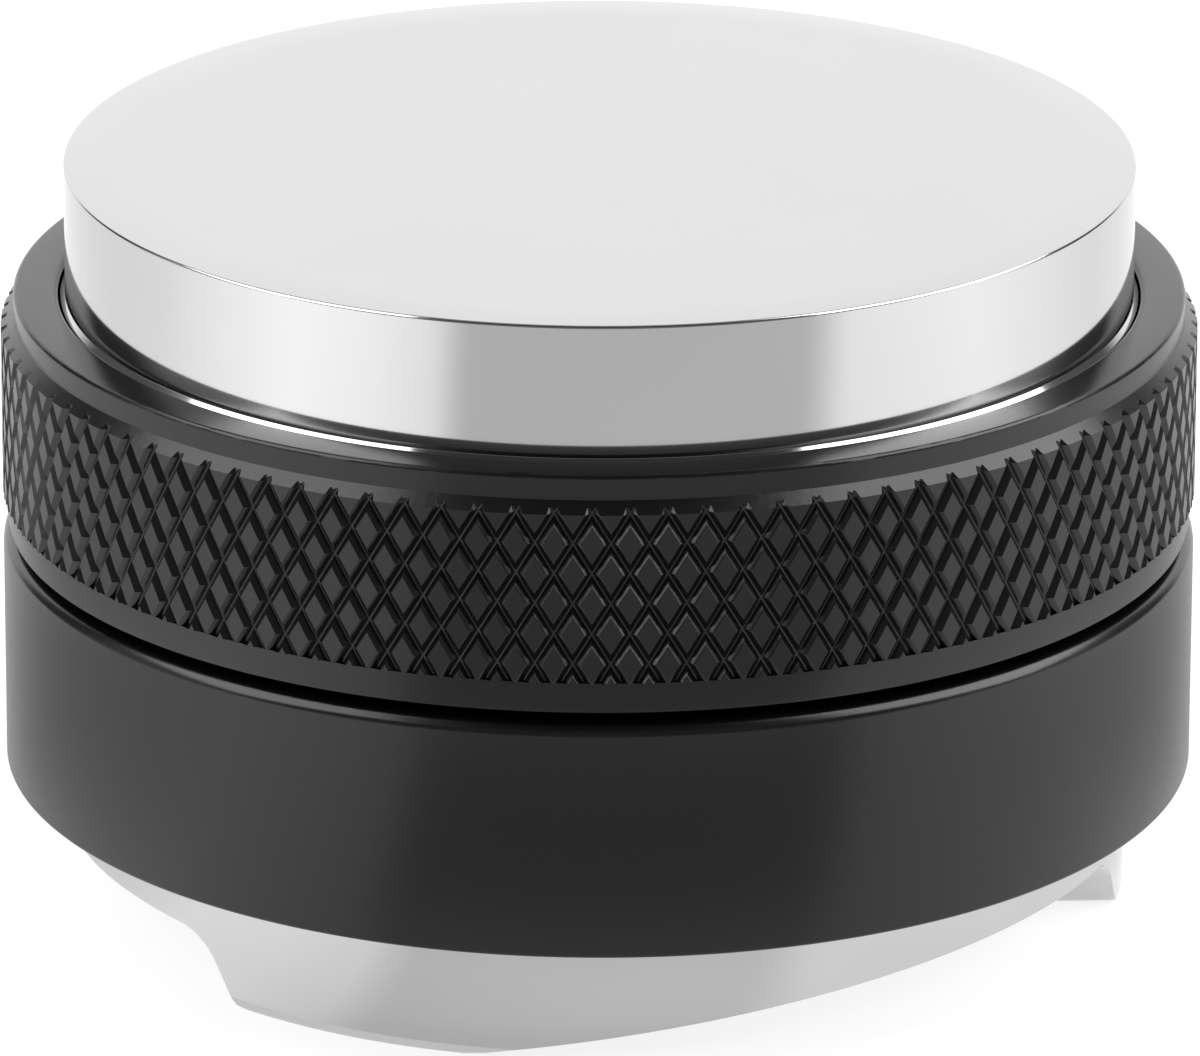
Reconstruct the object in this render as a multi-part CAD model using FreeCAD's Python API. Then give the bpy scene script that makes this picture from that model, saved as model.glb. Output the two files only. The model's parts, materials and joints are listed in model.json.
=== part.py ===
"""Double-ended espresso tool: a flat tamper on top, a three-blade leveller below, and two depth collars.

Both steel heads are clamped to one threaded core by a stud.  Each collar screws along the core, so that
turning it sets how deep its head reaches into the filter basket.  Millimetres, +Z up towards the tamper
face, origin in the middle of the flat lands that the leveller stands on.
"""

import math
import os

import FreeCAD
import Part

# ---------------------------------------------------------------- driving dimensions
HEAD_RADIUS = 29.0            # both heads fit a 58 mm basket
COLLAR_RADIUS = 32.5          # outside of both collars
TOTAL_HEIGHT = 41.0
COLLAR_HEIGHT = 13.0
REACH = 7.2                   # how far each head stands out of its collar at rest
TRAVEL = 4.5                  # of each collar along the core
PITCH = 1.5                   # of the core's thread
CORE_RADIUS = 25.0            # crest of the core's thread

# heads
HEAD_THICKNESS = 10.0
EDGE_BREAK = 0.2              # chamfer on the rim edges of the heads
GUIDE_RADIUS = 29.25          # of the part of each head that stays inside its collar
GUIDE_DEPTH = 0.05            # from the collar's mouth at rest down to that part's sloped step
SPIGOT_RADIUS = 12.0
SPIGOT_LENGTH = 2.0
STUD_RADIUS = 5.0
STUD_HOLE_DEPTH = 8.0         # from the end of the spigot
STUD_GAP = 0.6                # left at each end of the stud
FIT = 0.03                    # radial clearance of pieces that are located in each other

# leveller blades
BLADE_COUNT = 3
FACET_HEADING = -30.0         # direction, in degrees, in which the first facet climbs
FACET_TILT = 10.1
FACET_START = 7.9             # distance from the axis at which a facet leaves the flat land
WALL_LEAD = 18.2              # from the facet's heading to the foot of the wall, round the rim
WALL_TURN = 35.0              # from the facet's heading to the wall's direction at the rim
WALL_PLAN_RADIUS = 49.6
WALL_SLOPE = 57.0             # of the wall, above the horizontal
WALL_FILLET = 3.6
LAND_ROUND = 1.5              # where a wall runs out into its land

# collars
NECK_RADIUS = 31.8            # plain top of the knurled collar
NECK_HEIGHT = 1.35
SHOULDER_HEIGHT = 0.6         # cone between the neck and the knurled band
KNURL_HEIGHT = 9.3
SKIRT_RADIUS = 32.2           # lower edge of the band under the knurl
NECK_ROUND = 0.25             # on the outer edge of the neck
LIP_CLEARANCE = 0.1           # between a head's guide and the recess of its collar
LIP_ROUND = 0.4               # on the inner edge of a collar's mouth
RECESS_MARGIN = 0.2           # left between a head and its collar's recess floor at full travel
TOP_ROUND = 0.7               # on the smooth collar's upper edge

# thread form
THREAD_DEPTH = 0.7
CREST_WIDTH = 0.25
FLANK_ANGLE = 30.0
THREAD_CLEARANCE = 0.15       # radial
FLANK_CLEARANCE = 0.1         # along the axis, on each flank
THREAD_RELIEF = 1.0           # plain length at each end of the core
RELIEF_DEPTH = 0.2            # of that plain length under the thread's root
WALL_BEHIND_THREAD = 1.5      # made together with a thread, inside the part that carries it

# small pieces
WIPER_SECTION = 0.6           # radius of the rubber ring's section, squeezed in its groove
WIPER_INSET = 1.8             # from the collar's open end to the middle of the groove
WIPER_GROOVE_WIDTH = 1.6
STOP_RING_THICKNESS = 1.5
STOP_RING_INNER = 23.4
STOP_RING_OUTER = 26.5
STOP_RING_OPENING = 9.0       # between its ends
STOP_CLEARANCE = 0.03
WASHER_INNER = 5.3
WASHER_OUTER = 9.0
WASHER_THICKNESS = 1.0
DOWEL_RADIUS = 1.5
DOWEL_LENGTH = 8.0
DOWEL_CIRCLE = 18.0
HEX_SOCKET_FLATS = 5.0
HEX_SOCKET_DEPTH = 4.0

# ---------------------------------------------------------------- heights that follow
SMOOTH_BOTTOM = REACH
SMOOTH_TOP = SMOOTH_BOTTOM + COLLAR_HEIGHT
KNURLED_TOP = TOTAL_HEIGHT - REACH
KNURLED_BOTTOM = KNURLED_TOP - COLLAR_HEIGHT
MIDDLE = (SMOOTH_TOP + KNURLED_BOTTOM) / 2
CORE_BOTTOM = HEAD_THICKNESS
CORE_TOP = TOTAL_HEIGHT - HEAD_THICKNESS
RECESS_RADIUS = GUIDE_RADIUS + LIP_CLEARANCE
GUIDE_STEP = GUIDE_RADIUS - HEAD_RADIUS
KNURLED_FLOOR = CORE_TOP - TRAVEL - RECESS_MARGIN
SMOOTH_FLOOR = CORE_BOTTOM + TRAVEL + RECESS_MARGIN
ROOT_RADIUS = CORE_RADIUS - THREAD_DEPTH
ROOT_WIDTH = CREST_WIDTH + 2 * THREAD_DEPTH * math.tan(math.radians(FLANK_ANGLE))
BORE_RADIUS = ROOT_RADIUS + THREAD_CLEARANCE
STOP_SEAT_DEPTH = (STOP_RING_THICKNESS - (KNURLED_BOTTOM - SMOOTH_TOP)) / 2 + STOP_CLEARANCE
WASHER_SEAT = SPIGOT_LENGTH + WASHER_THICKNESS

UP = FreeCAD.Vector(0, 0, 1)
AXIS = FreeCAD.Vector(0, 0, 0)


# ---------------------------------------------------------------- helpers
def cylinder(radius, low, high, x=0.0, y=0.0):
    """Upright cylinder between two heights."""
    return Part.makeCylinder(radius, high - low, FreeCAD.Vector(x, y, low))


def ring(inner, outer, low, high):
    """Upright ring between two heights."""
    return cylinder(outer, low, high).cut(cylinder(inner, low - 1, high + 1))


def turned(outline):
    """Solid of revolution about Z of a closed outline of (radius, height) points.

    A point given as (radius, height, "round", radius of the round) has its corner rounded.
    """
    count = len(outline)
    edges = []
    starts = []
    for i in range(count):
        here = FreeCAD.Vector(outline[i][0], 0, outline[i][1])
        if len(outline[i]) == 2:
            starts.append((here, here, None))
            continue
        before = FreeCAD.Vector(outline[i - 1][0], 0, outline[i - 1][1])
        after = FreeCAD.Vector(outline[(i + 1) % count][0], 0, outline[(i + 1) % count][1])
        back = (before - here).normalize()
        on = (after - here).normalize()
        half = math.acos(back.dot(on)) / 2
        reach = outline[i][3] / math.tan(half)
        centre = here + (back + on).normalize() * (outline[i][3] / math.sin(half))
        middle = centre + (here - centre).normalize() * outline[i][3]
        starts.append((here + back * reach, here + on * reach, middle))
    for i in range(count):
        entry, leave, middle = starts[i]
        if middle is not None:
            edges.append(Part.Arc(entry, middle, leave).toShape())
        following = starts[(i + 1) % count][0]
        if (following - leave).Length > 1e-6:
            edges.append(Part.LineSegment(leave, following).toShape())
    face = Part.Face(Part.Wire(edges))
    return face.revolve(AXIS, UP, 360)


def thread_outline(back, root, crest, root_width, crest_width, low, high):
    """Closed radial section of a threaded wall: a straight back and a row of teeth one pitch apart."""
    first = math.floor((low - MIDDLE) / PITCH) - 1
    last = math.ceil((high - MIDDLE) / PITCH) + 1
    bottom = MIDDLE + (first - 0.5) * PITCH
    top = MIDDLE + (last + 0.5) * PITCH
    corners = [FreeCAD.Vector(back, 0, bottom), FreeCAD.Vector(root, 0, bottom)]
    for tooth in range(first, last + 1):
        height = MIDDLE + tooth * PITCH
        corners.append(FreeCAD.Vector(root, 0, height - root_width / 2))
        corners.append(FreeCAD.Vector(crest, 0, height - crest_width / 2))
        corners.append(FreeCAD.Vector(crest, 0, height + crest_width / 2))
        corners.append(FreeCAD.Vector(root, 0, height + root_width / 2))
    corners.append(FreeCAD.Vector(root, 0, top))
    corners.append(FreeCAD.Vector(back, 0, top))
    return Part.makePolygon(corners + corners[:1])


def threaded_wall(back, root, crest, root_width, crest_width, low, high):
    """Helically threaded tube, swept in two half turns and trimmed square at both heights."""
    section = thread_outline(back, root, crest, root_width, crest_width, low, high)
    helix = Part.makeHelix(PITCH, PITCH / 2, root)
    half = Part.Wire(helix).makePipeShell([section], True, True)
    other = half.copy()
    other.rotate(AXIS, UP, 180)
    other.translate(UP * (PITCH / 2))
    reach = 2 * COLLAR_RADIUS
    slab = Part.makeBox(2 * reach, 2 * reach, high - low, FreeCAD.Vector(-reach, -reach, low))
    return half.common(slab).fuse(other.common(slab))


def male_thread(low, high):
    """Outer wall of the core, with a helical ridge."""
    return threaded_wall(
        ROOT_RADIUS - WALL_BEHIND_THREAD, ROOT_RADIUS, CORE_RADIUS, ROOT_WIDTH, CREST_WIDTH, low, high
    )


def female_thread(low, high):
    """Inner wall of a collar, with a helical groove larger than the ridge by the clearances."""
    crest_width = CREST_WIDTH + 2 * FLANK_CLEARANCE
    root_width = ROOT_WIDTH + 2 * FLANK_CLEARANCE
    groove_bottom = CORE_RADIUS + THREAD_CLEARANCE
    back = groove_bottom + WALL_BEHIND_THREAD
    return threaded_wall(back, BORE_RADIUS, groove_bottom, root_width, crest_width, low, high)


def direction(degrees):
    """Horizontal unit vector at an angle from +X."""
    return FreeCAD.Vector(math.cos(math.radians(degrees)), math.sin(math.radians(degrees)), 0)


# ---------------------------------------------------------------- leveller and tamper heads
def facet_cutter():
    """Tool for the first blade's hollow: a tilted plane that ends in a curved, filleted wall."""
    deep = 12.0
    span = 60.0
    heading = direction(FACET_HEADING)
    across = direction(FACET_HEADING + 90)
    rise = math.tan(math.radians(FACET_TILT))
    below = Part.makePolygon([
        heading * -span + UP * (rise * (-span - FACET_START)) - across * span,
        heading * span + UP * (rise * (span - FACET_START)) - across * span,
        heading * span - UP * 3 * deep - across * span,
        heading * -span - UP * 3 * deep - across * span,
        heading * -span + UP * (rise * (-span - FACET_START)) - across * span,
    ])
    wedge = Part.Face(below).extrude(across * (2 * span))
    rim_foot = direction(FACET_HEADING + WALL_LEAD) * HEAD_RADIUS
    wall_centre = rim_foot + direction(FACET_HEADING + WALL_TURN + 90) * WALL_PLAN_RADIUS
    lean = deep / math.tan(math.radians(WALL_SLOPE))
    inside = Part.makeCone(
        WALL_PLAN_RADIUS - lean,
        WALL_PLAN_RADIUS + lean,
        2 * deep,
        wall_centre - UP * deep,
    )
    near = cylinder(HEAD_RADIUS + 8, -deep, deep)
    tool = wedge.common(near).cut(inside)
    corner = [e for e in tool.Edges if is_wall_foot(e, wall_centre)]
    return tool.makeFillet(WALL_FILLET, corner)


def is_wall_foot(edge, wall_centre):
    """True for the edge in which a facet's plane meets its wall."""
    heading = direction(FACET_HEADING)
    rise = math.tan(math.radians(FACET_TILT))
    for share in (0.2, 0.5, 0.8):
        at = edge.valueAt(edge.FirstParameter + share * (edge.LastParameter - edge.FirstParameter))
        plane_height = rise * (at.dot(heading) - FACET_START)
        flat = FreeCAD.Vector(at.x - wall_centre.x, at.y - wall_centre.y, 0).Length
        wall = WALL_PLAN_RADIUS + at.z / math.tan(math.radians(WALL_SLOPE))
        if abs(at.z - plane_height) > 0.01 or abs(flat - wall) > 0.01:
            return False
    return True


def is_wall_top(edge):
    """True for the arc in which a wall meets the flat land: it lies at height 0, off the tool's axis."""
    bounds = edge.BoundBox
    level = max(abs(bounds.ZMin), abs(bounds.ZMax)) < 1e-6
    return level and edge.Curve.TypeId == "Part::GeomCircle" and edge.Curve.Center.Length > 1


def stud_hole(mouth, inward):
    """Blind tapped hole for the stud, from the end of a spigot into its head."""
    low, high = sorted((mouth, mouth + inward * STUD_HOLE_DEPTH))
    return cylinder(STUD_RADIUS + FIT, low, high)


def dowel_places():
    """Centres of the two dowel holes."""
    return [direction(90) * DOWEL_CIRCLE, direction(270) * DOWEL_CIRCLE]


def make_tamper_head():
    """Solid steel disc with a flat face, a spigot below, a tapped hole and two dowel holes."""
    base = CORE_TOP
    spigot_end = base - SPIGOT_LENGTH
    step = KNURLED_TOP - GUIDE_DEPTH
    body = turned([
        (0, spigot_end),
        (SPIGOT_RADIUS - FIT - 0.3, spigot_end),
        (SPIGOT_RADIUS - FIT, spigot_end + 0.3),
        (SPIGOT_RADIUS - FIT, base),
        (GUIDE_RADIUS - EDGE_BREAK, base),
        (GUIDE_RADIUS, base + EDGE_BREAK),
        (GUIDE_RADIUS, step - GUIDE_STEP),
        (HEAD_RADIUS, step),
        (HEAD_RADIUS, TOTAL_HEIGHT - EDGE_BREAK),
        (HEAD_RADIUS - EDGE_BREAK, TOTAL_HEIGHT),
        (0, TOTAL_HEIGHT),
    ])
    body = body.cut(stud_hole(spigot_end, 1))
    for place in dowel_places():
        body = body.cut(
            cylinder(DOWEL_RADIUS, base - 1, base + DOWEL_LENGTH / 2 + 0.3, place.x, place.y)
        )
    return body


def make_leveler_head():
    """Steel disc whose underside has three flat lands and three tilted hollows."""
    base = CORE_BOTTOM
    spigot_end = base + SPIGOT_LENGTH
    step = SMOOTH_BOTTOM + GUIDE_DEPTH
    body = turned([
        (0, 0),
        (HEAD_RADIUS - EDGE_BREAK, 0),
        (HEAD_RADIUS, EDGE_BREAK),
        (HEAD_RADIUS, step),
        (GUIDE_RADIUS, step + GUIDE_STEP),
        (GUIDE_RADIUS, base - EDGE_BREAK),
        (GUIDE_RADIUS - EDGE_BREAK, base),
        (SPIGOT_RADIUS - FIT, base),
        (SPIGOT_RADIUS - FIT, spigot_end - 0.3),
        (SPIGOT_RADIUS - FIT - 0.3, spigot_end),
        (0, spigot_end),
    ])
    cutter = facet_cutter()
    for blade in range(BLADE_COUNT):
        turned_cutter = cutter.copy()
        turned_cutter.rotate(AXIS, UP, blade * 360 / BLADE_COUNT)
        body = body.cut(turned_cutter)
    body = body.makeFillet(LAND_ROUND, [edge for edge in body.Edges if is_wall_top(edge)])
    return body.cut(stud_hole(spigot_end, -1))


# ---------------------------------------------------------------- core and what holds it together
def make_threaded_core():
    """Barrel that carries both collars, threaded outside, with a seat at each end for a spigot."""
    thread_low = CORE_BOTTOM + THREAD_RELIEF
    thread_high = CORE_TOP - THREAD_RELIEF
    body = cylinder(ROOT_RADIUS - WALL_BEHIND_THREAD / 2, thread_low, thread_high)
    body = male_thread(thread_low, thread_high).fuse(body)
    body = body.fuse(cylinder(ROOT_RADIUS - RELIEF_DEPTH, CORE_BOTTOM, thread_low))
    body = body.fuse(cylinder(ROOT_RADIUS - RELIEF_DEPTH, thread_high, CORE_TOP))
    groove_low = MIDDLE - STOP_RING_THICKNESS / 2 - STOP_CLEARANCE
    groove_high = MIDDLE + STOP_RING_THICKNESS / 2 + STOP_CLEARANCE
    body = body.cut(ring(STOP_RING_INNER - FIT, CORE_RADIUS + 2, groove_low, groove_high))
    body = body.cut(cylinder(STUD_RADIUS + 0.5, CORE_BOTTOM - 1, CORE_TOP + 1))
    body = body.cut(cylinder(SPIGOT_RADIUS, CORE_BOTTOM - 1, CORE_BOTTOM + WASHER_SEAT))
    body = body.cut(cylinder(SPIGOT_RADIUS, CORE_TOP - WASHER_SEAT, CORE_TOP + 1))
    for place in dowel_places():
        body = body.cut(
            cylinder(DOWEL_RADIUS, CORE_TOP - DOWEL_LENGTH / 2 - 0.3, CORE_TOP + 1, place.x, place.y)
        )
    return body


def make_joining_stud():
    """Set screw that pulls both heads against the core, with a hexagon socket in its upper end."""
    low = CORE_BOTTOM + SPIGOT_LENGTH - STUD_HOLE_DEPTH + STUD_GAP
    high = CORE_TOP - SPIGOT_LENGTH + STUD_HOLE_DEPTH - STUD_GAP
    stud = turned([
        (0, low),
        (STUD_RADIUS - 0.8, low),
        (STUD_RADIUS, low + 0.8),
        (STUD_RADIUS, high - 0.8),
        (STUD_RADIUS - 0.8, high),
        (0, high),
    ])
    across_corners = HEX_SOCKET_FLATS / 2 / math.cos(math.radians(30))
    corners = [direction(60 * i) * across_corners + UP * (high - HEX_SOCKET_DEPTH) for i in range(6)]
    socket = Part.Face(Part.makePolygon(corners + corners[:1])).extrude(UP * (HEX_SOCKET_DEPTH + 1))
    return stud.cut(socket)


def make_dowel_pins():
    """Two pins that stop the tamper head turning on the core."""
    pins = []
    for place in dowel_places():
        pin = turned([
            (0, CORE_TOP - DOWEL_LENGTH / 2),
            (DOWEL_RADIUS - 0.25, CORE_TOP - DOWEL_LENGTH / 2),
            (DOWEL_RADIUS - 0.01, CORE_TOP - DOWEL_LENGTH / 2 + 0.25),
            (DOWEL_RADIUS - 0.01, CORE_TOP + DOWEL_LENGTH / 2 - 0.25),
            (DOWEL_RADIUS - 0.25, CORE_TOP + DOWEL_LENGTH / 2),
            (0, CORE_TOP + DOWEL_LENGTH / 2),
        ])
        pin.translate(place)
        pins.append(pin)
    return Part.makeCompound(pins)


def make_lock_washer(low):
    """Flat-ground spring washer that keeps a spigot and the stud from working loose."""
    return ring(WASHER_INNER, WASHER_OUTER, low + 0.01, low + WASHER_THICKNESS - 0.01)


def make_stop_ring():
    """Open snap ring in the middle of the core, which both collars come up against."""
    low = MIDDLE - STOP_RING_THICKNESS / 2
    whole = ring(STOP_RING_INNER, STOP_RING_OUTER, low, low + STOP_RING_THICKNESS)
    opening = Part.makeBox(
        STOP_RING_OUTER,
        STOP_RING_OPENING,
        STOP_RING_THICKNESS + 2,
        FreeCAD.Vector(0, -STOP_RING_OPENING / 2, low - 1),
    )
    opening.rotate(AXIS, UP, 90)
    return whole.cut(opening)


# ---------------------------------------------------------------- collars and their rubber rings
def make_wiper_ring(middle):
    """Rubber ring in a collar's groove, which rubs on the head and holds the collar's setting."""
    return Part.makeTorus(
        GUIDE_RADIUS + 0.01 + WIPER_SECTION, WIPER_SECTION, FreeCAD.Vector(0, 0, middle), UP
    )


def wiper_groove(middle):
    """Space cut in a collar for its rubber ring."""
    bottom = GUIDE_RADIUS + 2 * WIPER_SECTION + FIT
    return ring(
        HEAD_RADIUS, bottom, middle - WIPER_GROOVE_WIDTH / 2, middle + WIPER_GROOVE_WIDTH / 2
    )


def collar_bore(mouth, floor, joint_face):
    """What is cut out of a collar: recess for the head, thread bore and seat for the stop ring."""
    out = 1 if mouth > floor else -1
    bore = CORE_RADIUS + THREAD_CLEARANCE + WALL_BEHIND_THREAD / 2
    return turned([
        (0, joint_face - out),
        (STOP_RING_OUTER + 0.5, joint_face - out),
        (STOP_RING_OUTER + 0.5, joint_face + out * STOP_SEAT_DEPTH),
        (bore, joint_face + out * STOP_SEAT_DEPTH),
        (bore, floor),
        (RECESS_RADIUS, floor),
        (RECESS_RADIUS, mouth, "round", LIP_ROUND),
        (RECESS_RADIUS + LIP_ROUND, mouth),
        (RECESS_RADIUS + LIP_ROUND, mouth + out),
        (0, mouth + out),
    ])


def make_knurled_collar():
    """Upper collar: plain neck, cone, knurled band and a tapered band under it."""
    knurl_top = KNURLED_TOP - NECK_HEIGHT - SHOULDER_HEIGHT
    knurl_bottom = knurl_top - KNURL_HEIGHT
    blank = turned([
        (0, KNURLED_BOTTOM),
        (SKIRT_RADIUS, KNURLED_BOTTOM, "round", 0.15),
        (COLLAR_RADIUS - 0.1, knurl_bottom),
        (COLLAR_RADIUS, knurl_bottom),
        (COLLAR_RADIUS, knurl_top),
        (NECK_RADIUS, knurl_top + SHOULDER_HEIGHT),
        (NECK_RADIUS, KNURLED_TOP, "round", NECK_ROUND),
        (0, KNURLED_TOP),
    ])
    collar = blank.cut(collar_bore(KNURLED_TOP, KNURLED_FLOOR, KNURLED_BOTTOM))
    collar = collar.cut(wiper_groove(KNURLED_TOP - WIPER_INSET))
    return collar.fuse(female_thread(KNURLED_BOTTOM + STOP_SEAT_DEPTH, KNURLED_FLOOR))


def make_smooth_collar():
    """Lower collar: a plain band with a rounded upper edge."""
    blank = turned([
        (0, SMOOTH_BOTTOM),
        (COLLAR_RADIUS, SMOOTH_BOTTOM, "round", 0.2),
        (COLLAR_RADIUS, SMOOTH_TOP, "round", TOP_ROUND),
        (0, SMOOTH_TOP),
    ])
    collar = blank.cut(collar_bore(SMOOTH_BOTTOM, SMOOTH_FLOOR, SMOOTH_TOP))
    collar = collar.cut(wiper_groove(SMOOTH_BOTTOM + WIPER_INSET))
    return collar.fuse(female_thread(SMOOTH_FLOOR, SMOOTH_TOP - STOP_SEAT_DEPTH))


def main():
    os.makedirs("parts", exist_ok=True)
    nodes = {
        "tamper_head": make_tamper_head(),
        "leveler_head": make_leveler_head(),
        "threaded_core": make_threaded_core(),
        "joining_stud": make_joining_stud(),
        "dowel_pins": make_dowel_pins(),
        "upper_lock_washer": make_lock_washer(CORE_TOP - WASHER_SEAT),
        "lower_lock_washer": make_lock_washer(CORE_BOTTOM + SPIGOT_LENGTH),
        "stop_ring": make_stop_ring(),
        "knurled_collar": make_knurled_collar(),
        "smooth_collar": make_smooth_collar(),
        "upper_wiper_ring": make_wiper_ring(KNURLED_TOP - WIPER_INSET),
        "lower_wiper_ring": make_wiper_ring(SMOOTH_BOTTOM + WIPER_INSET),
    }
    for name, shape in nodes.items():
        print(
            f"{name}: {len(shape.Solids)} solid(s), valid {shape.isValid()}, "
            f"{shape.Volume / 1000:.3f} cm3, {len(shape.Faces)} faces"
        )
        shape.exportStep(f"parts/{name}.step")


main()
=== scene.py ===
import json
import math

import bmesh
import bpy
from mathutils import Matrix, Vector


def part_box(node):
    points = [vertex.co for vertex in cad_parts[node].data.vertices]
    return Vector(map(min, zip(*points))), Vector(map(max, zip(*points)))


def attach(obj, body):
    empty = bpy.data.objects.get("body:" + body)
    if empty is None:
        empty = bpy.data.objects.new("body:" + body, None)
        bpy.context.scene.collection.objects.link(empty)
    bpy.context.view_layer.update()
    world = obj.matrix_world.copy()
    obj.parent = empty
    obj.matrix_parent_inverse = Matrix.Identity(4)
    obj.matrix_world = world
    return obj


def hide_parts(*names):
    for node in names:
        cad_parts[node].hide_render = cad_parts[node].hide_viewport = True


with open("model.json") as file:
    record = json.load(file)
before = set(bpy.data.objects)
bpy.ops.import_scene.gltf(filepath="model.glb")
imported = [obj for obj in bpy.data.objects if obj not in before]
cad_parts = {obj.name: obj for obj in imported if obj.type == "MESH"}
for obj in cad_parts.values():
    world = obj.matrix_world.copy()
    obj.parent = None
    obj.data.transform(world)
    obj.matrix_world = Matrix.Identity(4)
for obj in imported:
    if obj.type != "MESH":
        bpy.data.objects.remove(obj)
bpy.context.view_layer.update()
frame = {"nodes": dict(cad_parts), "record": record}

MM = 0.001
TURN = 2 * math.pi
STARTS = 102                  # knurl diamonds round the collar
ROUND = 4 * STARTS            # vertices in each plain ring


def height_range(node):
    """Lowest and highest point of a CAD node, in mm."""
    low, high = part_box(node)
    return low.z / MM, high.z / MM


def widest(node):
    """Outer radius of a CAD node that is round about Z, in mm."""
    low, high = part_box(node)
    return round((high.x - low.x) / 2 / MM, 2)


LEVELER_LOW, LEVELER_HIGH = height_range("leveler_head")
TAMPER_LOW, TAMPER_HIGH = height_range("tamper_head")
KNURLED_LOW, KNURLED_HIGH = height_range("knurled_collar")
SMOOTH_LOW, SMOOTH_HIGH = height_range("smooth_collar")
CORE_LOW, CORE_HIGH = height_range("threaded_core")
MIDDLE = (KNURLED_LOW + SMOOTH_HIGH) / 2
WELD = 0.002 * MM             # distance within which vertices are one
GUIDE_STEP = 0.25             # by which a head is wider inside its collar
GUIDE_DEPTH = 0.05            # from a collar's mouth at rest down to that step
HEAD_RADIUS = widest("tamper_head") - GUIDE_STEP
COLLAR_RADIUS = widest("smooth_collar")
CORE_RADIUS = widest("threaded_core")


# ---------------------------------------------------------------- mesh helpers
class Skin:
    """Collects rings and polygons of one solid, given as (angle, radius, height) in mm, and welds them."""

    def __init__(self):
        self.points = []
        self.faces = []
        self.known = {}

    def vertex(self, angle, radius, height):
        """Index of the vertex at this place, made once."""
        if radius < 1e-6:
            angle = 0.0
        angle = angle % TURN
        key = (round(angle * 1e5) % round(TURN * 1e5), round(radius * 1e3), round(height * 1e3))
        if key not in self.known:
            self.known[key] = len(self.points)
            self.points.append(
                (radius * math.cos(angle) * MM, radius * math.sin(angle) * MM, height * MM)
            )
        return self.known[key]

    def face(self, corners):
        """Polygon through (angle, radius, height) corners, dropped where it has no area."""
        ids = []
        for corner in corners:
            index = self.vertex(*corner)
            if index not in ids:
                ids.append(index)
        if len(ids) > 2:
            self.faces.append(ids)

    def bridge(self, first, second):
        """Joins two rings of (angle, radius, height), each sorted by angle, whatever their counts."""
        a, b = 0, 0
        while a < len(first) or b < len(second):
            here_a = first[a % len(first)]
            here_b = second[b % len(second)]
            next_a = first[(a + 1) % len(first)]
            next_b = second[(b + 1) % len(second)]
            reach_a = next_a[0] + (TURN if a + 1 >= len(first) else 0)
            reach_b = next_b[0] + (TURN if b + 1 >= len(second) else 0)
            if a < len(first) and b < len(second) and abs(reach_a - reach_b) < 1e-6:
                self.face([here_a, next_a, next_b, here_b])
                a += 1
                b += 1
            elif b >= len(second) or (a < len(first) and reach_a < reach_b):
                self.face([here_a, next_a, here_b])
                a += 1
            else:
                self.face([here_a, next_b, here_b])
                b += 1

    def lathe(self, profile, before=None, after=None):
        """Rings through a profile of (radius, height), joined to a ready ring before or after it."""
        rings = [ring_of(radius, height) for radius, height in profile]
        if before is not None:
            rings.insert(0, before)
        if after is not None:
            rings.append(after)
        for i in range(len(rings) - 1):
            self.bridge(rings[i], rings[i + 1])

    def build(self, name, sharp=25.0):
        """Mesh object with faces pointing outwards and edges sharp above an angle in degrees."""
        mesh = bpy.data.meshes.new(name)
        mesh.from_pydata(self.points, [], self.faces)
        work = bmesh.new()
        work.from_mesh(mesh)
        bmesh.ops.remove_doubles(work, verts=work.verts, dist=WELD)
        bmesh.ops.dissolve_degenerate(work, edges=work.edges, dist=WELD / 4)
        bmesh.ops.recalc_face_normals(work, faces=work.faces)
        work.to_mesh(mesh)
        work.free()
        mesh.shade_smooth()
        mesh.set_sharp_from_angle(angle=math.radians(sharp))
        piece = bpy.data.objects.new(name, mesh)
        bpy.context.scene.collection.objects.link(piece)
        return piece


def ring_of(radius, height, count=ROUND):
    """Plain ring of (angle, radius, height)."""
    return [(TURN * i / count, radius, height) for i in range(count)]


def rounded(corners, steps=5):
    """Open profile of (radius, height) in which a corner with a third number has that round."""
    out = []
    for i, corner in enumerate(corners):
        if len(corner) == 2:
            out.append(corner)
            continue
        here = Vector(corner[:2])
        back = (Vector(corners[i - 1][:2]) - here).normalized()
        on = (Vector(corners[i + 1][:2]) - here).normalized()
        half = math.acos(max(-1.0, min(1.0, back.dot(on)))) / 2
        reach = corner[2] / math.tan(half)
        start = here + back * reach
        end = here + on * reach
        centre = here + (back + on).normalized() * (corner[2] / math.sin(half))
        first = start - centre
        sweep = first.angle_signed(end - centre)
        for k in range(steps + 1):
            turn = -sweep * k / steps
            x = first.x * math.cos(turn) - first.y * math.sin(turn)
            y = first.x * math.sin(turn) + first.y * math.cos(turn)
            out.append((centre.x + x, centre.y + y))
    return out


def cut(corners, value):
    """Splits a convex polygon where value(corner) changes sign; returns its two sides."""
    low, high = [], []
    for i, here in enumerate(corners):
        following = corners[(i + 1) % len(corners)]
        at, then = value(here), value(following)
        if at <= 1e-9:
            low.append(here)
        if at >= -1e-9:
            high.append(here)
        if (at < -1e-9 and then > 1e-9) or (at > 1e-9 and then < -1e-9):
            share = at / (at - then)
            middle = tuple(p + (q - p) * share for p, q in zip(here, following))
            low.append(middle)
            high.append(middle)
    return (low if len(low) > 2 else None), (high if len(high) > 2 else None)


def strips(corners, width):
    """Cuts a polygon along the upright lines at whole multiples of an angle."""
    first = math.ceil(min(c[0] for c in corners) / width - 1e-6)
    last = math.floor(max(c[0] for c in corners) / width + 1e-6)
    parts = []
    rest = corners
    for line in range(first, last + 1):
        if rest is None:
            break
        part, rest = cut(rest, lambda c, at=line * width: c[0] - at)
        if part is not None:
            parts.append(part)
    if rest is not None:
        parts.append(rest)
    return parts


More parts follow.
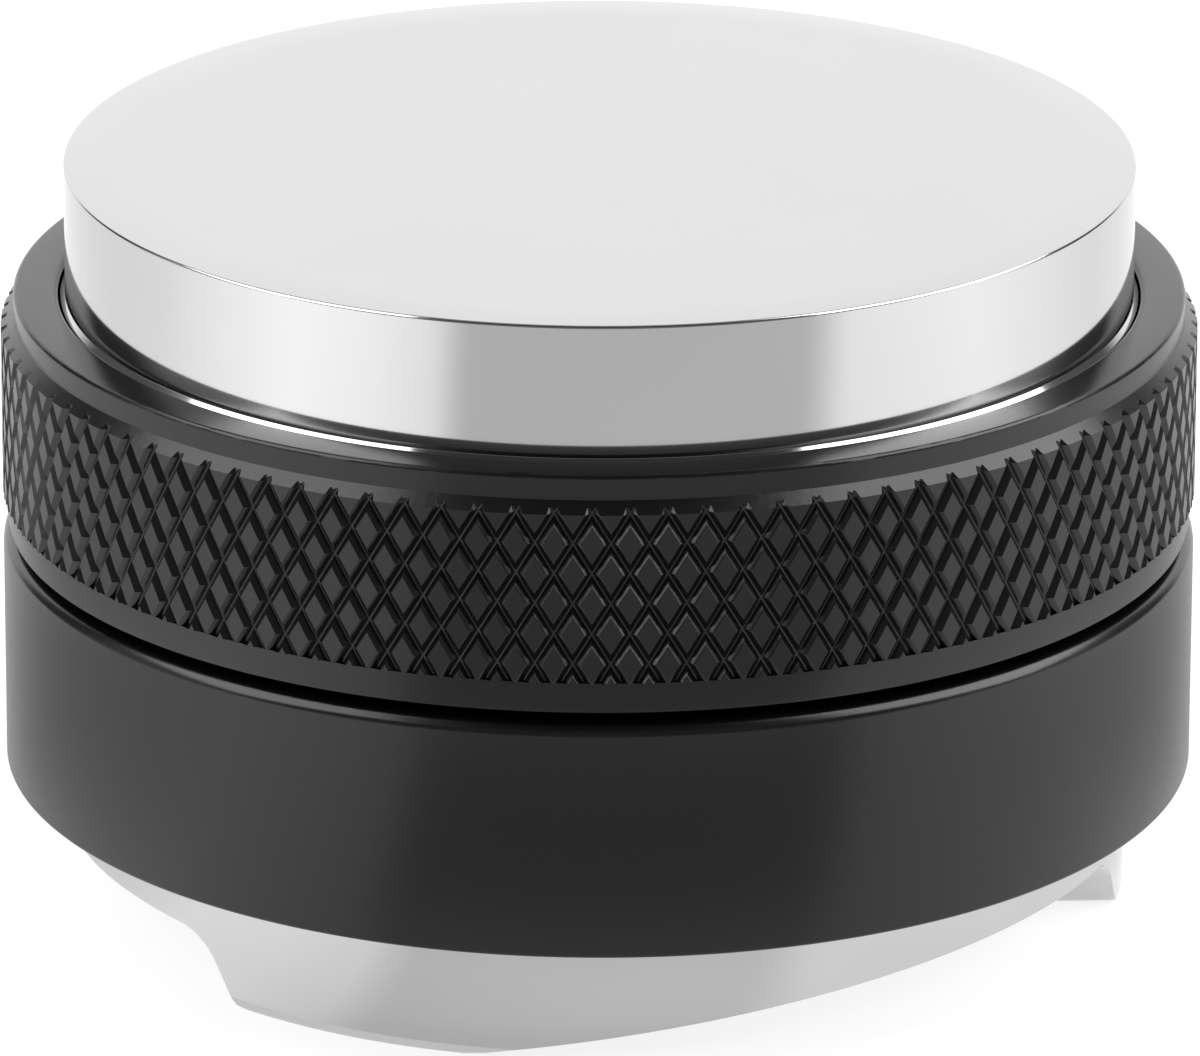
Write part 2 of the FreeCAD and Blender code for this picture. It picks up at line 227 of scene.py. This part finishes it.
def edge_ring(polygons, height):
    """Sorted ring of the polygons' corners that lie at a height."""
    found = {}
    for corners in polygons:
        for angle, radius, at in corners:
            if abs(at - height) < 1e-6:
                turned = angle % TURN
                if TURN - turned < 1e-6:
                    turned = 0.0
                found[round(turned * 1e5)] = (turned, radius, height)
    return [found[key] for key in sorted(found)]


# ---------------------------------------------------------------- knurl and threads
KNURL_PERIOD = 3.32           # along the axis
# Section from a groove's middle to a diamond's flat top: share of the diamond's side, and depth.
KNURL_STEPS = [(0.0, 0.36), (0.03, 0.345), (0.165, 0.05), (0.205, 0.0)]
KNURL_COLUMN = math.radians(-90.6)


def diamond(i, j, start, column):
    """Polygons of one knurl diamond: a flat top, bevelled edges and half of each groove round it."""
    pitch = TURN / STARTS

    def corner(u, v, depth):
        return (
            column + pitch * (u + v) / 2,
            COLLAR_RADIUS - depth,
            start + KNURL_PERIOD * (u - v) / 2,
        )

    def outline(inset, depth):
        """The diamond's corners, each side moved inwards by a share of its length."""
        low_u, high_u = i + inset, i + 1 - inset
        low_v, high_v = j + inset, j + 1 - inset
        places = [(low_u, low_v), (high_u, low_v), (high_u, high_v), (low_u, high_v)]
        return [corner(u, v, depth) for u, v in places]

    polygons = []
    for outer_step, inner_step in zip(KNURL_STEPS, KNURL_STEPS[1:]):
        outer, inner = outline(*outer_step), outline(*inner_step)
        for k in range(4):
            following = (k + 1) % 4
            polygons.append([outer[k], outer[following], inner[following], inner[k]])
    polygons.append(outline(*KNURL_STEPS[-1]))
    return polygons


def knurl_band(low, shoulder_low, shoulder_high):
    """Polygons of the knurled band, square at its lower end and running out on the shoulder's cone."""
    slope = (COLLAR_RADIUS - NECK_RADIUS) / (shoulder_high - shoulder_low)

    def over_cone(corner):
        return corner[1] - (COLLAR_RADIUS - slope * (corner[2] - shoulder_low))

    polygons = []
    rows = math.ceil((shoulder_low - low) / KNURL_PERIOD) + 1
    for i in range(-rows, STARTS + 2):
        for j in range(-2, STARTS + rows):
            middle = (i + j + 1) / 2
            rise = (i - j) * KNURL_PERIOD / 2
            if not 0 <= middle < STARTS:
                continue
            if rise > KNURL_PERIOD or shoulder_low + rise < low - KNURL_PERIOD:
                continue
            for corners in diamond(i, j, shoulder_low, KNURL_COLUMN):
                _, corners = cut(corners, lambda c: c[2] - low)
                if corners is None:
                    continue
                corners, _ = cut(corners, lambda c: c[2] - shoulder_high)
                if corners is None:
                    continue
                below, above = cut(corners, over_cone)
                if below is not None:
                    polygons += strips(below, TURN / ROUND)
                if above is not None:
                    on_cone = [
                        (a, COLLAR_RADIUS - slope * (h - shoulder_low), h) for a, r, h in above
                    ]
                    polygons += strips(on_cone, TURN / ROUND)
    return polygons


THREAD_PITCH = 1.5
THREAD_CELLS = 96             # cells in one turn
CUT_CREST = 0.225             # half widths of a collar's thread groove, at its bottom and at the bore
CUT_MOUTH = 0.63
BORE_RADIUS = CORE_RADIUS - 0.55
CUT_RADIUS = CORE_RADIUS + 0.15


def inner_thread(low, high):
    """Polygons of a collar's helical groove between two heights."""
    half = THREAD_PITCH / 2
    steps = [
        (-half, BORE_RADIUS),
        (-CUT_MOUTH, BORE_RADIUS),
        (-CUT_CREST, CUT_RADIUS),
        (CUT_CREST, CUT_RADIUS),
        (CUT_MOUTH, BORE_RADIUS),
        (half, BORE_RADIUS),
    ]
    polygons = []
    first = math.floor((low - MIDDLE) / THREAD_PITCH) - 2
    last = math.ceil((high - MIDDLE) / THREAD_PITCH) + 1
    for turn in range(first, last + 1):
        for cell in range(THREAD_CELLS):
            start, end = TURN * cell / THREAD_CELLS, TURN * (cell + 1) / THREAD_CELLS
            foot = MIDDLE + (turn + cell / THREAD_CELLS) * THREAD_PITCH
            head = foot + THREAD_PITCH / THREAD_CELLS
            for (z0, r0), (z1, r1) in zip(steps, steps[1:]):
                corners = [
                    (start, r0, foot + z0),
                    (end, r0, head + z0),
                    (end, r1, head + z1),
                    (start, r1, foot + z1),
                ]
                _, corners = cut(corners, lambda c: c[2] - low)
                if corners is None:
                    continue
                corners, _ = cut(corners, lambda c: c[2] - high)
                if corners is not None:
                    polygons.append(corners)
    return polygons


# ---------------------------------------------------------------- collars
GUIDE = HEAD_RADIUS + GUIDE_STEP
RECESS = GUIDE + 0.1
LIP_ROUND = 0.4
GROOVE = GUIDE + 1.23         # bottom of the rubber ring's groove
GROOVE_HALF = 0.8             # half its width
GROOVE_DEPTH = 1.8            # from a collar's mouth to its middle
SEAT_RADIUS = 27.0            # half of the stop ring lies in this seat
SEAT_DEPTH = 0.48
SEAT_BREAK = 0.1
WALL_INSIDE = 7.5             # from a collar's mouth to the floor of its recess
SMOOTH_UPPER_ROUND = 0.7
SMOOTH_LOWER_ROUND = 0.2
NECK_RADIUS = 31.8            # knurled collar above its shoulder
NECK_HEIGHT = 1.35
NECK_ROUND = 0.25
SHOULDER_HEIGHT = 0.6
KNURL_HEIGHT = 9.3            # below the shoulder
FOOT_RADIUS = 32.2            # knurled collar at its lower end
FOOT_ROUND = 0.15


def collar_inside(mouth, joint_face):
    """Profile from a collar's mouth, along its recess and rubber ring groove, to the recess floor."""
    inward = 1 if joint_face > mouth else -1
    groove = mouth + inward * GROOVE_DEPTH
    return rounded([
        (RECESS + 2 * LIP_ROUND, mouth),
        (RECESS, mouth, LIP_ROUND),
        (RECESS, groove - inward * GROOVE_HALF),
        (GROOVE, groove - inward * GROOVE_HALF),
        (GROOVE, groove + inward * GROOVE_HALF),
        (RECESS, groove + inward * GROOVE_HALF),
        (RECESS, mouth + inward * WALL_INSIDE),
    ], steps=8)[1:]


def make_smooth_collar():
    """Plain black collar with a rounded upper edge."""
    skin = Skin()
    floor = SMOOTH_LOW + WALL_INSIDE
    seat = SMOOTH_HIGH - SEAT_DEPTH
    thread = inner_thread(floor, seat)
    for corners in thread:
        skin.face(corners)
    outside = rounded([
        (SEAT_RADIUS, seat),
        (SEAT_RADIUS, SMOOTH_HIGH - SEAT_BREAK),
        (SEAT_RADIUS + SEAT_BREAK, SMOOTH_HIGH),
        (COLLAR_RADIUS, SMOOTH_HIGH, SMOOTH_UPPER_ROUND),
        (COLLAR_RADIUS, SMOOTH_LOW, SMOOTH_LOWER_ROUND),
        (RECESS + 2 * LIP_ROUND, SMOOTH_LOW),
    ])
    skin.lathe(
        outside + collar_inside(SMOOTH_LOW, SMOOTH_HIGH),
        before=edge_ring(thread, seat),
        after=edge_ring(thread, floor),
    )
    piece = skin.build("smooth_grip")
    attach(piece, "lower_collar")
    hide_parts("smooth_collar")
    return piece


def make_knurled_collar():
    """Knurled black collar with a plain neck above the knurl and a plain band below it."""
    skin = Skin()
    shoulder_high = KNURLED_HIGH - NECK_HEIGHT
    shoulder_low = shoulder_high - SHOULDER_HEIGHT
    knurl_low = shoulder_low - KNURL_HEIGHT
    floor = KNURLED_HIGH - WALL_INSIDE
    seat = KNURLED_LOW + SEAT_DEPTH
    knurl = knurl_band(knurl_low, shoulder_low, shoulder_high)
    thread = inner_thread(seat, floor)
    for corners in knurl + thread:
        skin.face(corners)
    foot = rounded([
        (COLLAR_RADIUS - 0.1, knurl_low),
        (FOOT_RADIUS, KNURLED_LOW, FOOT_ROUND),
        (SEAT_RADIUS + SEAT_BREAK, KNURLED_LOW),
        (SEAT_RADIUS, KNURLED_LOW + SEAT_BREAK),
        (SEAT_RADIUS, seat),
    ])
    skin.lathe(foot, before=edge_ring(knurl, knurl_low), after=edge_ring(thread, seat))
    crown = rounded([
        (NECK_RADIUS, shoulder_high + 0.1),
        (NECK_RADIUS, KNURLED_HIGH, NECK_ROUND),
        (RECESS + 2 * LIP_ROUND, KNURLED_HIGH),
    ])
    skin.lathe(
        crown + collar_inside(KNURLED_HIGH, KNURLED_LOW),
        before=edge_ring(knurl, shoulder_high),
        after=edge_ring(thread, floor),
    )
    piece = skin.build("knurled_grip", sharp=18.0)
    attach(piece, "upper_collar")
    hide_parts("knurled_collar")
    return piece


# ---------------------------------------------------------------- heads
SPIGOT_RADIUS = 11.97         # spigot under the tamper head, which centres it in the core
SPIGOT_HEIGHT = 2.0
SPIGOT_ROUND = 0.3
HOLE_RADIUS = 5.03            # blind hole for the stud
HOLE_DEPTH = 8.0
RIM_ROUND = 0.16
BASE_ROUND = 0.2


def make_tamper_disc():
    """Polished disc with a softened rim, a spigot and a blind hole under it."""
    skin = Skin()
    base = TAMPER_LOW + SPIGOT_HEIGHT
    hole_end = TAMPER_LOW + HOLE_DEPTH
    step = KNURLED_HIGH - GUIDE_DEPTH
    profile = [(0, hole_end), (HOLE_RADIUS, hole_end), (HOLE_RADIUS, TAMPER_LOW)]
    profile += rounded([
        (HOLE_RADIUS, TAMPER_LOW),
        (SPIGOT_RADIUS, TAMPER_LOW, SPIGOT_ROUND),
        (SPIGOT_RADIUS, base),
        (GUIDE, base, BASE_ROUND),
        (GUIDE, step - GUIDE_STEP, 0.04),
        (HEAD_RADIUS, step, 0.06),
        (HEAD_RADIUS, TAMPER_HIGH, RIM_ROUND),
        (26.0, TAMPER_HIGH),
    ])[1:]
    profile += [(18.0, TAMPER_HIGH), (9.0, TAMPER_HIGH), (0, TAMPER_HIGH)]
    skin.lathe(profile)
    piece = skin.build("tamper_disc")
    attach(piece, "core_assembly")
    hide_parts("tamper_head")
    return piece


PLANE_AREA = 6.0              # mm2 from which faces in one plane are shaded flat


def flat_share(mesh):
    """For each face, the area in mm2 of all faces in its plane."""
    keys, areas = [], {}
    for face in mesh.polygons:
        normal = face.normal
        key = tuple(round(v, 3) for v in normal) + (round(normal.dot(face.center) / MM, 1),)
        keys.append(key)
        areas[key] = areas.get(key, 0.0) + face.area / MM ** 2
    return [areas[key] for key in keys]


def make_leveler_disc():
    """The CAD leveller head, shaded as true planes, a true cylinder and smooth walls between them."""
    mesh = frame["nodes"]["leveler_head"].data.copy()
    mesh.name = "leveler_disc"
    work = bmesh.new()
    work.from_mesh(mesh)
    bmesh.ops.remove_doubles(work, verts=work.verts, dist=WELD)
    work.to_mesh(mesh)
    work.free()
    mesh.shade_smooth()
    mesh.set_sharp_from_angle(angle=math.radians(20))
    shares = flat_share(mesh)
    smooth = [Vector(corner.vector) for corner in mesh.corner_normals]
    normals = list(smooth)
    for face in mesh.polygons:
        spots = [mesh.vertices[i].co for i in face.vertices]
        radii = [math.hypot(spot.x, spot.y) / MM for spot in spots]
        upright = abs(face.normal.z) < 0.02 and min(radii) > HEAD_RADIUS - 0.02
        for loop, spot in zip(face.loop_indices, spots):
            if upright:
                normals[loop] = Vector((spot.x, spot.y, 0)).normalized()
            elif shares[face.index] > PLANE_AREA:
                normals[loop] = face.normal.copy()
    mesh.normals_split_custom_set(normals)
    piece = bpy.data.objects.new("leveler_disc", mesh)
    bpy.context.scene.collection.objects.link(piece)
    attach(piece, "core_assembly")
    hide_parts("leveler_head")
    return piece


# ---------------------------------------------------------------- materials
def new_material(name):
    """Empty node material with its shader."""
    material = bpy.data.materials.new(name)
    material.use_nodes = True
    nodes = material.node_tree.nodes
    return material, nodes, material.node_tree.links, nodes["Principled BSDF"]


def noise(nodes, links, scale, detail=3.0):
    """Noise in the object's own metres."""
    place = nodes.new("ShaderNodeTexCoord")
    texture = nodes.new("ShaderNodeTexNoise")
    texture.inputs["Scale"].default_value = scale
    texture.inputs["Detail"].default_value = detail
    links.new(place.outputs["Object"], texture.inputs["Vector"])
    return texture.outputs["Fac"]


def spread(nodes, links, value, low, high):
    """Maps a 0 to 1 value to a range."""
    node = nodes.new("ShaderNodeMapRange")
    node.inputs["To Min"].default_value = low
    node.inputs["To Max"].default_value = high
    links.new(value, node.inputs["Value"])
    return node.outputs["Result"]


def mix(nodes, links, value, first, second):
    """Colour between two others."""
    node = nodes.new("ShaderNodeMix")
    node.data_type = "RGBA"
    node.inputs[6].default_value = (*first, 1)
    node.inputs[7].default_value = (*second, 1)
    links.new(value, node.inputs[0])
    return node.outputs[2]


def bump(nodes, links, value, strength, distance):
    """Normal from a height."""
    node = nodes.new("ShaderNodeBump")
    node.inputs["Strength"].default_value = strength
    node.inputs["Distance"].default_value = distance
    links.new(value, node.inputs["Height"])
    return node.outputs["Normal"]


def polished_steel():
    """Fine-turned, polished stainless steel."""
    material, nodes, links, shader = new_material("polished_steel")
    shader.inputs["Metallic"].default_value = 1.0
    grain = noise(nodes, links, 900, 4)
    cloud = noise(nodes, links, 90, 2)
    tone = mix(nodes, links, cloud, (0.52, 0.52, 0.525), (0.545, 0.545, 0.55))
    links.new(tone, shader.inputs["Base Color"])
    links.new(spread(nodes, links, cloud, 0.065, 0.095), shader.inputs["Roughness"])
    links.new(bump(nodes, links, grain, 0.02, 0.00002), shader.inputs["Normal"])
    return material


def black_anodised():
    """Satin black anodised aluminium, with the finest tooth left by blasting."""
    material, nodes, links, shader = new_material("black_anodised")
    grain = noise(nodes, links, 2600, 3)
    cloud = noise(nodes, links, 140, 3)
    tone = mix(nodes, links, cloud, (0.002, 0.002, 0.0022), (0.0035, 0.0035, 0.0037))
    links.new(tone, shader.inputs["Base Color"])
    links.new(spread(nodes, links, grain, 0.19, 0.26), shader.inputs["Roughness"])
    shader.inputs["IOR"].default_value = 1.46
    links.new(bump(nodes, links, grain, 0.12, 0.00003), shader.inputs["Normal"])
    return material


def plain_metal(name, dark, light, rough, tooth):
    """Machined metal of a small or hidden piece."""
    material, nodes, links, shader = new_material(name)
    shader.inputs["Metallic"].default_value = 1.0
    grain = noise(nodes, links, 1500, 3)
    cloud = noise(nodes, links, 200, 3)
    links.new(mix(nodes, links, cloud, dark, light), shader.inputs["Base Color"])
    links.new(spread(nodes, links, cloud, rough, rough + 0.12), shader.inputs["Roughness"])
    links.new(bump(nodes, links, grain, tooth, 0.00002), shader.inputs["Normal"])
    return material


def black_rubber():
    """Matt nitrile rubber."""
    material, nodes, links, shader = new_material("black_rubber")
    grain = noise(nodes, links, 1800, 4)
    tone = mix(nodes, links, grain, (0.012, 0.012, 0.012), (0.02, 0.02, 0.02))
    links.new(tone, shader.inputs["Base Color"])
    links.new(spread(nodes, links, grain, 0.6, 0.75), shader.inputs["Roughness"])
    links.new(bump(nodes, links, grain, 0.2, 0.00003), shader.inputs["Normal"])
    return material


def finish_nodes(materials):
    """Gives each CAD node that stays in view its material."""
    slots = {part["node"]: part["material_slot"] for part in frame["record"]["subparts"]}
    for name, node in frame["nodes"].items():
        node.data.materials.clear()
        node.data.materials.append(materials[slots[name]])


# ---------------------------------------------------------------- stage
FLOOR_ALBEDO = 0.3
FLOOR_GLOW = 0.78
FLOOR_HALF = 4.0              # half its side, in m


def make_floor():
    """Pale floor, lit from beneath as a light table is."""
    mesh = bpy.data.meshes.new("floor")
    corners = [(-1, -1), (1, -1), (1, 1), (-1, 1)]
    mesh.from_pydata([(x * FLOOR_HALF, y * FLOOR_HALF, 0) for x, y in corners], [], [(0, 1, 2, 3)])
    floor = bpy.data.objects.new("floor", mesh)
    bpy.context.scene.collection.objects.link(floor)
    material, nodes, links, shader = new_material("floor_paper")
    fibre = noise(nodes, links, 60, 3)
    pale = [(shade, shade, shade) for shade in (FLOOR_ALBEDO - 0.005, FLOOR_ALBEDO + 0.005)]
    links.new(mix(nodes, links, fibre, *pale), shader.inputs["Base Color"])
    shader.inputs["Roughness"].default_value = 0.9
    shader.inputs["Specular IOR Level"].default_value = 0.1
    shader.inputs["Emission Color"].default_value = (1, 1, 1, 1)
    shader.inputs["Emission Strength"].default_value = FLOOR_GLOW
    mesh.materials.append(material)


# Painted reflection: how bright the floor's mirror image is, against the floor, by heading from the front
# in degrees, with painted brighter pools at both sides.
PAINTED_REFLECTION_POOLS = [
    (-180, 1.0), (-115, 1.0), (-98, 1.06), (-80, 1.24), (-62, 1.4), (-45, 1.3), (-30, 1.1),
    (40, 1.1), (60, 1.18), (80, 1.26), (100, 1.14), (120, 1.0), (180, 1.0),
]
# The same inside the painted darker zone in front, as painted reflection shade, by distance from the
# tool's axis in mm.
PAINTED_SHADE_REACH = [(29.5, 0.8), (42, 0.76), (55, 0.46), (90, 0.44), (125, 0.62), (150, 0.66), (600, 0.66)]
# Shade close to the tool: by heading from the front, and how much of it there is at a distance.
NEAR_SHADE = [(0, 0.9), (60, 0.9), (80, 0.78), (105, 0.6), (140, 0.65), (180, 0.8)]
NEAR_REACH = [(29.5, 0.7), (45, 1.0), (60, 1.0), (85, 0.75), (126, 0.0), (600, 0.0)]
# The painted darker zone's left edge runs out from the axis. Its right edge runs through a corner, in mm.
PAINTED_SHADE_LEFT = math.radians(-29)
PAINTED_SHADE_FADE_LEFT = math.radians(9)
PAINTED_SHADE_FADE_RIGHT = math.radians(12)
PAINTED_SHADE_CORNER = Vector((16.6, -34.8))
PAINTED_SHADE_INWARD = Vector((-0.646, -0.763))
SHEET_ACROSS = 240             # cells round the axis
SHEET_ALONG = 40               # and away from it
SHEET_HEIGHT = 0.0003          # above the floor, in m


def between(table, at):
    """Straight-line value of a table of pairs."""
    for (start, first), (end, second) in zip(table, table[1:]):
        if start <= at <= end:
            return first + (second - first) * (at - start) / (end - start)
    return table[-1][1]


def floor_image(heading, reach):
    """Painted brightness of the floor's mirror image, light and shade, at a heading in radians and a
    distance in mm.
    """
    pool = between(PAINTED_REFLECTION_POOLS, math.degrees(heading))
    near = between(NEAR_SHADE, abs(math.degrees(heading)))
    pool *= 1 - (1 - near) * between(NEAR_REACH, reach)
    place = Vector((math.sin(heading), -math.cos(heading))) * reach
    left = (heading - PAINTED_SHADE_LEFT) / PAINTED_SHADE_FADE_LEFT
    right = (place - PAINTED_SHADE_CORNER).dot(PAINTED_SHADE_INWARD) / (reach * math.tan(PAINTED_SHADE_FADE_RIGHT))
    share = max(0.0, min(1.0, min(left, right) + 0.5))
    if abs(heading) > math.pi / 2:
        share = 0.0
    return pool + (between(PAINTED_SHADE_REACH, reach) - pool) * share * share * (3 - 2 * share)


def make_painted_reflection_sheet():
    """Sheet seen only in reflections, with the floor's mirror image painted on it: painted shade in front
    and painted brighter pools at both sides.
    """
    mesh = bpy.data.meshes.new("painted_reflection_sheet")
    inner, outer = PAINTED_SHADE_REACH[0][0], PAINTED_SHADE_REACH[-1][0]
    row = SHEET_ALONG + 1
    points, faces, shades = [], [], []
    for i in range(SHEET_ACROSS + 1):
        heading = TURN * (i / SHEET_ACROSS - 0.5)
        for k in range(row):
            reach = inner * (outer / inner) ** (k / SHEET_ALONG)
            x, y = reach * math.sin(heading) * MM, -reach * math.cos(heading) * MM
            points.append((x, y, SHEET_HEIGHT))
            shades.append(floor_image(heading, reach))
    for i in range(SHEET_ACROSS):
        for k in range(SHEET_ALONG):
            corner = i * row + k
            faces.append((corner, corner + 1, corner + row + 1, corner + row))
    mesh.from_pydata(points, [], faces)
    # Painted light and shade of the floor's mirror image, stored as colour.
    reflection_shade = mesh.color_attributes.new("shade", "FLOAT_COLOR", "POINT")
    for i, shade in enumerate(shades):
        reflection_shade.data[i].color = (shade, shade, shade, 1)
    painted_reflection_sheet = bpy.data.objects.new("painted_reflection_sheet", mesh)
    bpy.context.scene.collection.objects.link(painted_reflection_sheet)
    painted_reflection_sheet.visible_camera = False
    painted_reflection_sheet.visible_shadow = False
    painted_reflection_sheet.visible_diffuse = False
    material, nodes, links, shader = new_material("painted_reflection_glow")
    # The sheet glows with this painted brightness, though it is no lamp, and is seen only in reflections.
    attribute = nodes.new("ShaderNodeAttribute")
    attribute.attribute_name = "shade"
    darker = nodes.new("ShaderNodeVectorMath")
    darker.operation = "SCALE"
    darker.inputs["Scale"].default_value = FLOOR_ALBEDO
    links.new(attribute.outputs["Color"], darker.inputs[0])
    links.new(darker.outputs["Vector"], shader.inputs["Base Color"])
    links.new(attribute.outputs["Color"], shader.inputs["Emission Color"])
    shader.inputs["Emission Strength"].default_value = FLOOR_GLOW
    shader.inputs["Roughness"].default_value = 0.9
    shader.inputs["Specular IOR Level"].default_value = 0.0
    mesh.materials.append(material)


LIGHT_DISTANCE = 0.6
# Heading, elevation, length, width, roll and radiance. Both lights stand askew, with the low end towards
# the front and the high end towards the back.
SOFTBOXES = {
    "right_light": (88, 42, 0.62, 0.50, 45, 4.5),
    "left_light": (-76, 42, 0.62, 0.42, -45, 3.6),
}


def softbox(name, heading, elevation, length, width, roll, radiance):
    """Soft light at a heading from the front and an elevation, all angles in degrees and sizes in m."""
    light = bpy.data.lights.new(name, "AREA")
    light.shape = "RECTANGLE"
    light.size = length
    light.size_y = width
    light.energy = radiance * math.pi * length * width
    box = bpy.data.objects.new(name, light)
    bpy.context.scene.collection.objects.link(box)
    turn, rise = math.radians(heading), math.radians(elevation)
    away = Vector((math.cos(rise) * math.sin(turn), -math.cos(rise) * math.cos(turn), math.sin(rise)))
    facing = (-away).to_track_quat("-Z", "Y").to_matrix().to_4x4()
    place = Matrix.Translation(away * LIGHT_DISTANCE + Vector((0, 0, MIDDLE * MM)))
    box.matrix_world = place @ facing @ Matrix.Rotation(math.radians(roll), 4, "Z")
    box.visible_camera = False


ROOM_FRONT = 0.05             # dim room, in front of the tool and behind it
ROOM_BACK = 0.12
PAPER = 1.3                   # low behind the tool
CEILING = 0.35                # added overhead, behind the tool's axis
WALL_FRONT = 0.15             # added low in front and at the sides
WALL_SIDE = 0.5


def make_world():
    """Surroundings: bright paper behind the tool, grey walls and ceiling, and a dim room between them."""
    world = bpy.data.worlds.new("studio")
    bpy.context.scene.world = world
    world.use_nodes = True
    nodes, links = world.node_tree.nodes, world.node_tree.links
    place = nodes.new("ShaderNodeTexCoord")
    split = nodes.new("ShaderNodeSeparateXYZ")
    links.new(place.outputs["Generated"], split.inputs["Vector"])
    flat = nodes.new("ShaderNodeVectorMath")
    flat.operation = "MULTIPLY"
    flat.inputs[1].default_value = (1, 1, 0)
    links.new(place.outputs["Generated"], flat.inputs[0])
    heading = nodes.new("ShaderNodeVectorMath")
    heading.operation = "NORMALIZE"
    links.new(flat.outputs["Vector"], heading.inputs[0])
    turned = nodes.new("ShaderNodeSeparateXYZ")
    links.new(heading.outputs["Vector"], turned.inputs["Vector"])

    def step(value, start, end, low, high):
        """Smooth step from low to high, as a value goes from start to end."""
        node = nodes.new("ShaderNodeMapRange")
        node.interpolation_type = "SMOOTHSTEP"
        node.inputs["From Min"].default_value = start
        node.inputs["From Max"].default_value = end
        node.inputs["To Min"].default_value = low
        node.inputs["To Max"].default_value = high
        links.new(value, node.inputs["Value"])
        return node.outputs["Result"]

    def combine(kind, first, second):
        """Sum or product of two values."""
        node = nodes.new("ShaderNodeMath")
        node.operation = kind
        links.new(first, node.inputs[0])
        links.new(second, node.inputs[1])
        return node.outputs["Value"]

    depth, height, bearing = split.outputs["Y"], split.outputs["Z"], turned.outputs["Y"]
    room = step(depth, -0.3, 0.3, ROOM_FRONT, ROOM_BACK)
    behind = step(bearing, 0.72, 0.84, 0, PAPER - ROOM_BACK)
    low = step(height, 0.62, 0.78, 1, 0)
    ahead = step(bearing, 0.2, 0.5, 1, 0)
    walls = combine("MULTIPLY", step(bearing, -0.5, -0.2, WALL_FRONT, WALL_SIDE), ahead)
    total = combine("ADD", room, combine("MULTIPLY", combine("ADD", behind, walls), low))
    overhead = step(height, 0.78, 0.94, 0, CEILING)
    ceiling = combine("MULTIPLY", overhead, step(depth, -0.1, 0.2, 0, 1))
    total = combine("ADD", total, ceiling)
    nodes["Background"].inputs["Color"].default_value = (1, 1, 1, 1)
    links.new(total, nodes["Background"].inputs["Strength"])


def make_lights():
    """The surroundings, a large soft light at each side and a painted mirror image of the floor."""
    make_world()
    for name, setting in SOFTBOXES.items():
        softbox(name, *setting)
    make_painted_reflection_sheet()


CAMERA_DISTANCE = 0.6344      # m
CAMERA_ELEVATION = 0.341      # radians
CAMERA_ROLL = 0.003
CAMERA_LENS = 347.85          # mm, on a sensor 36 mm wide
AIM_RIGHT = 0.077             # aim from the middle of the core, in mm
AIM_DOWN = 0.85


def make_camera():
    """Camera at a long lens, looking down at the tool from just above."""
    data = bpy.data.cameras.new("camera")
    data.sensor_width = 36
    data.lens = CAMERA_LENS
    camera = bpy.data.objects.new("camera", data)
    bpy.context.scene.collection.objects.link(camera)
    target = Vector((AIM_RIGHT * MM, 0, (CORE_LOW + CORE_HIGH) / 2 * MM - AIM_DOWN * MM))
    place = target + CAMERA_DISTANCE * Vector(
        (0, -math.cos(CAMERA_ELEVATION), math.sin(CAMERA_ELEVATION))
    )
    aim = (target - place).to_track_quat("-Z", "Y").to_matrix().to_4x4()
    camera.matrix_world = Matrix.Translation(place) @ aim @ Matrix.Rotation(CAMERA_ROLL, 4, "Z")
    bpy.context.scene.camera = camera
    bpy.context.scene.view_settings.view_transform = "Standard"


def main():
    make_camera()
    make_floor()
    make_lights()
    materials = {
        "polished_steel": polished_steel(),
        "black_anodised": black_anodised(),
        "bare_aluminium": plain_metal("bare_aluminium", (0.62, 0.62, 0.63), (0.7, 0.7, 0.71), 0.25, 0.1),
        "black_steel": plain_metal("black_steel", (0.05, 0.05, 0.055), (0.08, 0.08, 0.085), 0.35, 0.1),
        "zinc_steel": plain_metal("zinc_steel", (0.5, 0.51, 0.53), (0.6, 0.61, 0.63), 0.3, 0.1),
        "black_rubber": black_rubber(),
    }
    finish_nodes(materials)
    for piece, slot in (
        (make_tamper_disc(), "polished_steel"),
        (make_leveler_disc(), "polished_steel"),
        (make_knurled_collar(), "black_anodised"),
        (make_smooth_collar(), "black_anodised"),
    ):
        piece.data.materials.clear()
        piece.data.materials.append(materials[slot])


main()
